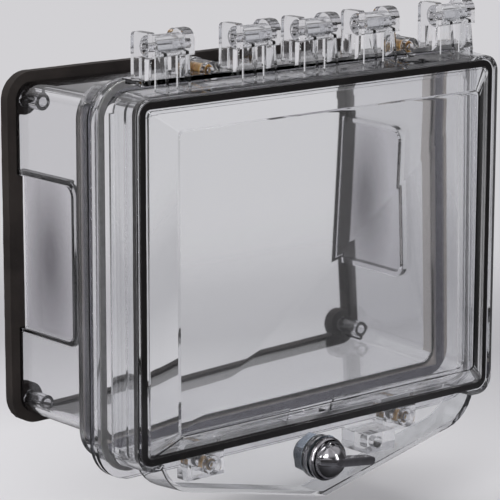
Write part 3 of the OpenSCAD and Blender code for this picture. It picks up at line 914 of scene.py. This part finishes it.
@dataclass
class Frame:
    """The clear frame with its inserts, screws and hinge pins."""

    edge_mm: float = 0.6
    screw_x_mm: float = 76.0
    screw_z_mm: float = 112.4
    smooth_deg: float = 28.0

    def build(self) -> None:
        """Dress the frame and its fixings."""
        rounded_copy("mounting_frame", "box", Finish.CLEAR_FRAME, self.edge_mm, edge_finish=Finish.EDGE)
        pins = {f"hinge_pin_{i}": Finish.CLEAR_PIN for i in range(1, 6)}
        Dressing("box", pins).build()
        inserts = Piece("knurled_inserts", "box", Finish.BRASS)
        screws = Piece("threaded_screws", "box", Finish.STEEL)
        for x in (-self.screw_x_mm, self.screw_x_mm):
            for z in (-self.screw_z_mm, self.screw_z_mm):
                fixing = FlangeFixing((x, z))
                fixing.insert(inserts)
                fixing.screw(screws)
        inserts.add_to_scene(self.smooth_deg, ["frame_inserts"])
        screws.add_to_scene(self.smooth_deg, ["flange_screws"])


@dataclass
class Cover:
    """The clear cover with its foam seal."""

    edge_mm: float = 0.5
    slope_edge_mm: float = 3.2
    rim_out_mm: float = 129.5
    rim_edge_mm: float = 2.4

    def build(self) -> None:
        """Dress the cover."""
        rounded_copy(
            "cover", "cover", Finish.CLEAR, self.edge_mm, self.slope_edge_mm, segments=3,
            edge_finish=Finish.EDGE, rim=(self.rim_out_mm, self.rim_edge_mm))
        FoamStrip("cover_seal", "cover", step_mm=3.0, wander_mm=0.35, grain_mm=0.2).build()


@dataclass
class CamLock:
    """The turning lock in the cover's apron."""

    axis: tuple[float, float] = (0.0, -120.7)
    body_d_mm: float = 19.0
    bore_d_mm: float = 12.16
    flange_d_mm: float = 26.0
    rear_out_mm: float = 111.7
    seat_out_mm: float = 130.5
    front_out_mm: float = 133.0
    pitch_mm: float = 1.5
    thread_mm: float = 0.85
    thread_step_mm: float = 0.15
    chamfer_mm: float = 1.2
    neck_mm: float = 0.9
    neck_length_mm: float = 1.6
    # How far in from the flange's side and back from its front each point of its rounding lies.
    rounding_mm: tuple[tuple[float, float], ...] = ((0.0, 1.3), (0.3, 0.6), (1.1, 0.0), (1.7, 0.25))
    smooth_deg: float = 28.0

    def build(self) -> None:
        """Dress the lock."""
        body = Piece("threaded_lock_body", "cover", Finish.CHROME)
        bore, half, flange = self.bore_d_mm / 2, self.body_d_mm / 2, self.flange_d_mm / 2
        rear, seat, neck = self.rear_out_mm, self.seat_out_mm, half - self.neck_mm
        steps = int((seat - rear - 2.5) / self.thread_step_mm)
        points = [(bore, rear), (half - self.chamfer_mm, rear)]
        points += [(half, rear + 0.6 + self.thread_step_mm * i) for i in range(steps)]
        points += [(neck, seat - self.neck_length_mm), (neck, seat), (flange, seat)]
        points += [(flange - inset, self.front_out_mm - back) for inset, back in self.rounding_mm]
        points += [(bore, self.front_out_mm - self.rounding_mm[-1][1])]
        body.turn(points, self.axis, 96, self.thread, closed=True)
        body.add_to_scene(32.0, ["lock_body"])
        for node, finish, width in (
                ("lock_nut", Finish.ZINC, 0.35), ("lock_washer", Finish.PALE_ZINC, 0.15)):
            rounded_copy(node, "cover", finish, width, smooth_deg=self.smooth_deg)
        Dressing("cover", {"lock_ring": Finish.RUBBER}).build()
        for node, finish, width in (
                ("thumb_turn", Finish.CHROME, 0.7), ("lock_cam", Finish.ZINC, 0.3),
                ("cam_washer", Finish.STEEL, 0.15)):
            rounded_copy(node, "thumb_turn", finish, width, segments=3, smooth_deg=self.smooth_deg)
        Dressing("thumb_turn", {
            "lock_plug": Finish.ZINC, "plug_o_ring": Finish.RUBBER, "thumb_turn_pin": Finish.STEEL,
            "cam_screw": Finish.STEEL}).build()

    def thread(self, angle: float, radius: float, out: float) -> float:
        """Radius of the body's thread.

        Args:
            angle: Angle round the axis.
            radius: Radius of the plain form.
            out: Distance from the wall.

        Returns:
            Radius with the thread cut into it.
        """
        if abs(radius - self.body_d_mm / 2) > 0.001 or out > self.seat_out_mm - 1.8:
            return radius
        turn = (out / self.pitch_mm + angle / (2 * math.pi)) % 1.0
        return radius - self.thread_mm * abs(2 * turn - 1)


@dataclass
class Studio:
    """Pale floor and backdrop, soft lights and the photograph's camera."""

    eye_mm: Point = (-970.2, -1197.5, 315.9)
    heading_deg: float = 40.48
    pitch_deg: float = 12.23
    roll_deg: float = -0.12
    lens_mm: float = 185.6
    sensor_mm: float = 36.0
    clip_m: tuple[float, float] = (0.05, 20.0)
    bounces: int = 24
    clear_bounces: int = 16
    floor_z_mm: float = -180.0
    floor_half_m: float = 1.0
    floor_fade_m: tuple[float, float] = (0.45, 0.95)
    fibre_mm: float = 1.5
    fibre_depth_mm: float = 0.02
    shadow_share: float = 0.85
    air_level: float = 0.5
    mirror_level: float = 0.16
    mirror_sheet: float = 0.8
    ceiling_level: float = 1.3
    ceiling_span: tuple[float, float] = (0.28, 0.6)
    # Azimuth and half width in degrees, and strength, of each bright card in the mirrored room.
    cards: tuple[tuple[float, float, float], ...] = ((162.0, 12.0, 1.8), (-125.0, 22.0, 2.2))
    card_core: float = 0.7
    sheet_behind: Point = (0.64, 0.74, 0.2)
    sheet_span: tuple[float, float] = (0.45, 0.85)
    flag_count: float = 8.0
    flag_span: tuple[float, float] = (-0.8, -0.3)
    flag_level: float = 0.04
    above_span: tuple[float, float] = (0.15, 0.45)
    above_level: float = 0.95
    aim_mm: Point = (0, -60, 0)
    paper: str = "d2d1d4"
    # Distance from the middle of the floor in metres, and tone there, to the eye and in a mirror:
    # painted shadow ring round the object to the eye, painted bright rings in a mirror.
    floor_tone_painted_shadow_ring: tuple[tuple[float, str], ...] = (
        (0.2, "d2d1d4"), (0.45, "b2b1b5"), (0.62, "b4b3b7"), (0.9, "d2d1d4"))
    painted_reflection_rings: tuple[tuple[float, str], ...] = (
        (0.12, "484849"), (0.24, "8e8e93"), (0.32, "505052"), (0.42, "8a8a8f"), (0.55, "484849"))

    def build(self) -> None:
        """Make the whole studio."""
        self.camera()
        self.backdrop()
        self.lights()
        scene = bpy.context.scene
        scene.view_settings.view_transform = "Standard"
        scene.cycles.max_bounces = self.bounces
        scene.cycles.transmission_bounces = self.bounces
        scene.cycles.transparent_max_bounces = self.clear_bounces
        scene.cycles.caustics_refractive = False
        scene.cycles.caustics_reflective = False

    def camera(self) -> None:
        """Camera where the photograph was taken from."""
        data = bpy.data.cameras.new("camera")
        data.lens = self.lens_mm
        data.sensor_width = self.sensor_mm
        data.clip_start, data.clip_end = self.clip_m
        item = bpy.data.objects.new("camera", data)
        item.location = Vector(self.eye_mm) * MM
        item.rotation_euler = (
            math.radians(90 - self.pitch_deg), math.radians(self.roll_deg), math.radians(-self.heading_deg))
        bpy.context.scene.collection.objects.link(item)
        bpy.context.scene.camera = item

    def backdrop(self) -> None:
        """A floor that the object casts a soft shadow on, with a painted shadow ring round the object and
        painted bright rings in its reflections, and the air round it.
        """
        tree = NodeTree(bpy.data.materials.new("studio paper"))
        fibre = tree.mottle(self.fibre_mm, detail=3.0)
        coords = tree.add("TexCoord")
        reach = tree.add("VectorMath", {"operation": "LENGTH"}, i0=(coords, "Object"))
        # Painted shadow ring: the floor is darker between about 0.45 and 0.62 m from its middle.
        tone = tree.ramp((reach, "Value"), [(at, linear(colour)) for at, colour in self.floor_tone_painted_shadow_ring])
        shader = tree.add(
            "BsdfPrincipled", Base_Color=tone, Roughness=0.9,
            Normal=tree.bump(fibre, self.fibre_depth_mm, strength=0.3))
        fade = tree.fade((reach, "Value"), self.floor_fade_m)
        air = tree.add("BsdfTransparent")
        path = tree.add("LightPath")
        # Painted bright rings, seen only in reflections.
        rings = tree.ramp((reach, "Value"), [(at, linear(colour)) for at, colour in self.painted_reflection_rings])
        dim = tree.add("BsdfDiffuse", Color=rings)
        mirrored = tree.add("MixShader", i0=(path, "Is Glossy Ray"), i1=shader, i2=dim)
        even = tree.add("Emission", Color=tone, Strength=1.0)
        plain = tree.add("MixShader", i0=self.shadow_share, i1=even, i2=shader)
        looks = tree.calculate("MAXIMUM", (path, "Is Camera Ray"), (path, "Is Transmission Ray"))
        seen = tree.add("MixShader", i0=looks, i1=mirrored, i2=plain)
        material = tree.finish(tree.add("MixShader", i0=fade, i1=seen, i2=air))
        mesh = bmesh.new()
        bmesh.ops.create_grid(mesh, x_segments=2, y_segments=2, size=self.floor_half_m)
        data = bpy.data.meshes.new("floor")
        mesh.to_mesh(data)
        mesh.free()
        data.materials.append(material)
        floor = bpy.data.objects.new("floor", data)
        floor.location = (0, 0, self.floor_z_mm * MM)
        bpy.context.scene.collection.objects.link(floor)
        self.air()

    def air(self) -> None:
        """A world that is plain paper to the eye.

        Through the plastic it is a row of pale sheets with dark flags between them, and in a mirror a
        dim room with a bright ceiling, a sheet behind the object and two cards.
        """
        world = bpy.data.worlds.new("studio air")
        bpy.context.scene.world = world
        tree = NodeTree(world)
        coords = tree.add("TexCoord")
        axes = tree.add("SeparateXYZ", Vector=(coords, "Generated"))
        turn = tree.calculate("ARCTAN2", (axes, "X"), (axes, "Y"))
        wave = tree.calculate("COSINE", tree.calculate("MULTIPLY", turn, self.flag_count))
        flags = tree.fade(wave, self.flag_span, low=self.flag_level)
        above = tree.fade((axes, "Z"), self.above_span, low=1.0, high=self.above_level)
        level = tree.calculate("MULTIPLY", flags, above)
        path = tree.add("LightPath")
        paper = tree.add("Background", Color=linear(self.paper), Strength=1.0)
        sheets = tree.add("Background", Color=linear(self.paper), Strength=level)
        behind = tree.add(
            "VectorMath", {"operation": "DOT_PRODUCT"}, i0=(coords, "Generated"), i1=self.sheet_behind)
        mirror = tree.fade((behind, "Value"), self.sheet_span, self.mirror_level, self.mirror_sheet)
        ceiling = tree.fade((axes, "Z"), self.ceiling_span, high=self.ceiling_level)
        shine = tree.calculate("MAXIMUM", mirror, ceiling)
        for azimuth, half_width, strength in self.cards:
            off = tree.calculate("ABSOLUTE", tree.calculate("SUBTRACT", turn, math.radians(azimuth)))
            side = (math.radians(half_width * self.card_core), math.radians(half_width))
            shine = tree.calculate("MAXIMUM", shine, tree.fade(off, side, low=strength, high=0.0))
        glossy = tree.add("Background", Color=linear(self.paper), Strength=shine)
        fill = tree.add("Background", Color=linear("ffffff"), Strength=self.air_level)
        first = tree.add("MixShader", i0=(path, "Is Glossy Ray"), i1=fill, i2=glossy)
        second = tree.add("MixShader", i0=(path, "Is Transmission Ray"), i1=first, i2=sheets)
        third = tree.add("MixShader", i0=(path, "Is Camera Ray"), i1=second, i2=paper)
        tree.add("OutputWorld", Surface=third)

    def lights(self) -> None:
        """A key from the upper left, a tall strip on each side of the camera, and a top light."""
        self.softbox("key", (-1500, -1300, 1300), width=700, height=700, watts=13)
        self.softbox("front strip", (513, -1410, 60), width=200, height=1500, watts=11)
        self.softbox("left strip", (-1350, -700, 60), width=200, height=1500, watts=14)
        self.softbox("top", (0, 150, 1400), width=900, height=600, watts=12)

    def softbox(self, name: str, place: Point, width: float, height: float, watts: float) -> None:
        """Add a rectangular soft light that points at the product.

        Args:
            name: Name of the light.
            place: Where it hangs, in millimetres.
            width: Width in millimetres.
            height: Height in millimetres.
            watts: Power.
        """
        data = bpy.data.lights.new(name, "AREA")
        data.shape = "RECTANGLE"
        data.size, data.size_y, data.energy = width * MM, height * MM, watts
        item = bpy.data.objects.new(name, data)
        item.location = Vector(place) * MM
        item.rotation_euler = (Vector(self.aim_mm) - Vector(place)).to_track_quat("-Z", "Y").to_euler()
        item.visible_camera = item.visible_transmission = False
        bpy.context.scene.collection.objects.link(item)


def main() -> None:
    """Build the product and its studio."""
    logging.basicConfig(level=logging.INFO)
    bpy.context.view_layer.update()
    Studio().build()
    BackBox().build()
    Frame().build()
    Cover().build()
    CamLock().build()


if __name__ == "__main__":
    main()
